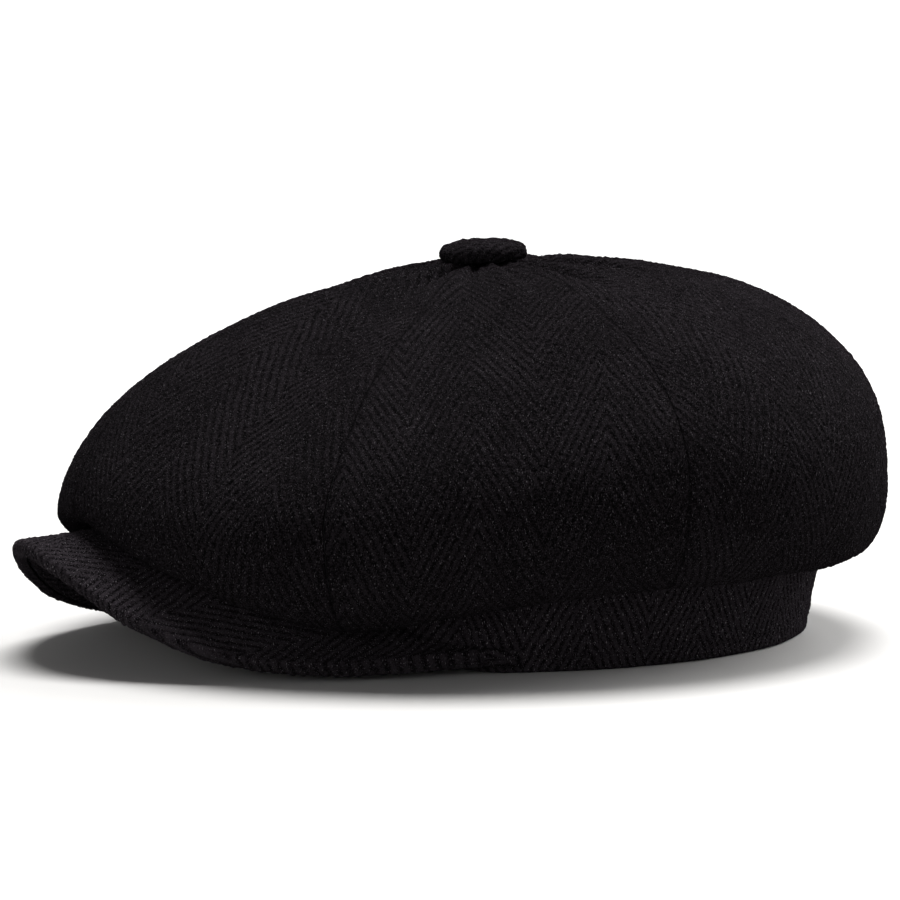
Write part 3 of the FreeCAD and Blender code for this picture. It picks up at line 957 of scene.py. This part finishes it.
class CapButton(bpy.types.Operator):
    """Cover the button at the top of the crown"""

    bl_idname = "cap.button"
    bl_label = "Button"

    def execute(self, context):
        turn = np.linspace(0, 2 * math.pi, 181)[:-1]
        dome = np.linspace(0.02, math.pi / 2, 34)
        under = np.linspace(0, math.pi / 2, 12)[1:]
        outside = BUTTON_RADIUS * np.sin(dome) ** BUTTON_FULL
        top = BUTTON_ROLL + (BUTTON_HEIGHT - BUTTON_ROLL) * np.cos(dome) ** BUTTON_FULL
        turned = BUTTON_RADIUS - BUTTON_ROLL + BUTTON_ROLL * np.cos(under)
        low = BUTTON_ROLL - BUTTON_ROLL * np.sin(under)
        tail = np.linspace(BUTTON_RADIUS - BUTTON_ROLL - 0.6 * MM, 10.6 * MM, 3)
        shrink = BUTTON_ROLL - BUTTON_CLOTH
        inner_turn = (BUTTON_RADIUS - BUTTON_ROLL + shrink * np.cos(under))[::-2]
        inner_low = (BUTTON_ROLL - shrink * np.sin(under))[::-2]
        radius = np.concatenate([outside, turned, tail, [10.6 * MM], inner_turn,
                                 outside[::-2] * (1 - BUTTON_CLOTH / BUTTON_RADIUS)])
        height = np.concatenate([top, low, np.zeros_like(tail), [BUTTON_CLOTH], inner_low,
                                 top[::-2] - BUTTON_CLOTH])
        profile = np.stack([radius, height], -1)
        run = lengths(profile, 0)
        points = np.stack([np.cos(turn)[:, None] * radius, np.sin(turn)[:, None] * radius,
                           np.broadcast_to(height, (len(turn), len(height)))], -1)
        weave = np.stack([np.cos(turn)[:, None] * run + COLUMN / 2, np.sin(turn)[:, None] * run,
                          np.full(points.shape[:2], 10 * MM)], -1)
        normal = grid_normals(points, True)
        if normal[0, 5, 2] < 0:
            normal = -normal
        pleat = np.sin(turn * 15 + 0.8 * np.sin(turn * 4))[:, None]
        fold = 0.10 * MM * pleat * np.exp(-((run - run[len(dome) - 1] * 1.05) / (2.6 * MM)) ** 2)
        relief = nap_height(points, weave) + fold + 0.2 * MM * waves(points, 7 * MM, 81, 2)
        relief[:, len(outside) + len(turned):] = 0
        points = points + normal * relief[..., None]
        count, rows = points.shape[:2]
        tilt = np.array(Matrix.Rotation(BUTTON_TILT, 3, "X"))
        points = points @ tilt.T + (0, APEX_Y, CROWN_TOP + BUTTON_LIFT)
        index = np.arange(count * rows).reshape(count, rows)
        shut = np.concatenate([index, index[:1]], 0)
        faces = [quads(shut, True), index[:, 0][None, :], index[:, -1][None, ::-1]]
        obj = new_mesh("Button_cover", points.reshape(-1, 3), faces, weave.reshape(-1, 3))
        dress(obj, crown_wool(), "cap", "wool", "button_cover")
        return {"FINISHED"}


class CapInside(bpy.types.Operator):
    """Finish the stiffener, visor board and the button's metal"""

    bl_idname = "cap.inside"
    bl_label = "Inner pieces"

    def execute(self, context):
        finishes = (
            ("band_stiffener", "Bonded_interlining", (0.72, 0.70, 0.66), 0.85, 0.0, 1400.0, 0.1 * MM),
            ("visor_board", "Visor_plastic", (0.02, 0.02, 0.021), 0.45, 0.0, 900.0, 0.03 * MM),
            ("button_shell", "Pressed_aluminium", (0.80, 0.80, 0.82), 0.35, 1.0, 700.0, 0.02 * MM),
            ("button_back", "Moulded_plate", (0.03, 0.03, 0.03), 0.5, 0.0, 1200.0, 0.03 * MM),
            ("button_loop", "Drawn_wire", (0.55, 0.55, 0.57), 0.3, 1.0, 2400.0, 0.01 * MM),
        )
        for node, name, colour, rough, metallic, grain, depth in finishes:
            finish = plain_finish(name, colour, rough, metallic, grain, depth)
            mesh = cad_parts[node].data
            mesh.materials.clear()
            mesh.materials.append(finish)
        return {"FINISHED"}


class CapStage(bpy.types.Operator):
    """Set the floor, the lights and the camera"""

    bl_idname = "cap.stage"
    bl_label = "Floor, lights and camera"

    def execute(self, context):
        scene = context.scene
        size = 60.0
        mesh = bpy.data.meshes.new("Floor")
        mesh.from_pydata([(-size, -size, 0), (size, -size, 0), (size, size, 0), (-size, size, 0)],
                         [], [(0, 1, 2, 3)])
        floor = bpy.data.objects.new("Floor", mesh)
        scene.collection.objects.link(floor)
        g = Graph("Pale_floor")
        tone = g.mix(g.limit(g.noise(3.0), 0.3, 0.7), (0.325, 0.32, 0.315, 1), (0.33, 0.33, 0.33, 1))
        mesh.materials.append(g.finish(Base_Color=tone, Roughness=0.6, Specular_IOR_Level=0.2))

        world = scene.world or bpy.data.worlds.new("Studio")
        scene.world = world
        world.use_nodes = True
        tree = world.node_tree
        sky = tree.nodes["Background"]
        sky.inputs["Color"].default_value = (1.0, 0.99, 0.985, 1)
        way = tree.nodes.new("ShaderNodeTexCoord")
        parts = tree.nodes.new("ShaderNodeSeparateXYZ")
        ramp = tree.nodes.new("ShaderNodeMapRange")
        ramp.inputs["From Min"].default_value = 0.03
        ramp.inputs["From Max"].default_value = 0.06
        ramp.inputs["To Min"].default_value = 1.15
        ramp.inputs["To Max"].default_value = SKY_STRENGTH
        tree.links.new(way.outputs["Generated"], parts.inputs[0])
        tree.links.new(parts.outputs["Z"], ramp.inputs["Value"])
        tree.links.new(ramp.outputs["Result"], sky.inputs["Strength"])
        scene.view_settings.view_transform = "Standard"
        right = Vector((math.cos(CAMERA_AZIMUTH), math.sin(CAMERA_AZIMUTH), 0))
        away = Vector((-math.sin(CAMERA_AZIMUTH), math.cos(CAMERA_AZIMUTH), 0))
        lamps = (("Key_light", right * 0.06 + away * 0.20 + Vector((0, 0, 1.0)), 8.8, 34.0),
                 ("Rear_light", right * 0.8 + away * 0.6 + Vector((0, 0, 0.6)), 6.6, 50.0),
                 ("Fill_light", right * -0.35 - away + Vector((0, 0, 0.20)), 1.6, 40.0))
        for name, towards, power, spread in lamps:
            lamp = bpy.data.lights.new(name, "SUN")
            lamp.energy = power
            lamp.angle = math.radians(spread)
            obj = bpy.data.objects.new(name, lamp)
            obj.rotation_euler = towards.to_track_quat("Z", "Y").to_euler()
            scene.collection.objects.link(obj)

        back = Vector((math.sin(CAMERA_AZIMUTH) * math.cos(CAMERA_ELEVATION),
                       -math.cos(CAMERA_AZIMUTH) * math.cos(CAMERA_ELEVATION),
                       math.sin(CAMERA_ELEVATION)))
        up = back.cross(right)
        spot = Vector(CAMERA_TARGET) + back * CAMERA_DISTANCE
        aim = Vector(CAMERA_TARGET) + right * CAMERA_RIGHT + up * CAMERA_UP
        lens = bpy.data.cameras.new("Camera")
        lens.lens = CAMERA_LENS
        lens.sensor_width = 36.0
        lens.clip_start = 0.01
        camera = bpy.data.objects.new("Camera", lens)
        camera.location = spot
        camera.rotation_euler = (aim - spot).to_track_quat("-Z", "Y").to_euler()
        scene.collection.objects.link(camera)
        scene.camera = camera
        return {"FINISHED"}


OPERATORS = (CapCrown, CapLining, CapBand, CapSweatband, CapStitching, CapVisor, CapButton,
             CapInside, CapStage)


class CapPanel(bpy.types.Panel):
    """Lists the cap's pieces in the sidebar"""

    bl_idname = "VIEW3D_PT_cap"
    bl_label = "Newsboy cap"
    bl_space_type = "VIEW_3D"
    bl_region_type = "UI"
    bl_category = "Cap"

    def draw(self, context):
        for maker in OPERATORS:
            self.layout.operator(maker.bl_idname)
        for group in (context.scene.cap_look, context.scene.cap_sizes):
            column = self.layout.column()
            for key in group.bl_rna.properties.keys():
                if key not in ("rna_type", "name"):
                    column.prop(group, key)


def register():
    for kind in (CapLook, CapSizes, *OPERATORS, CapPanel):
        bpy.utils.register_class(kind)
    bpy.types.Scene.cap_look = bpy.props.PointerProperty(type=CapLook)
    bpy.types.Scene.cap_sizes = bpy.props.PointerProperty(type=CapSizes)


def unregister():
    del bpy.types.Scene.cap_sizes
    del bpy.types.Scene.cap_look
    for kind in reversed((CapLook, CapSizes, *OPERATORS, CapPanel)):
        bpy.utils.unregister_class(kind)


def main():
    register()
    for maker in OPERATORS:
        group, name = maker.bl_idname.split(".")
        getattr(getattr(bpy.ops, group), name)()


if __name__ == "__main__":
    main()
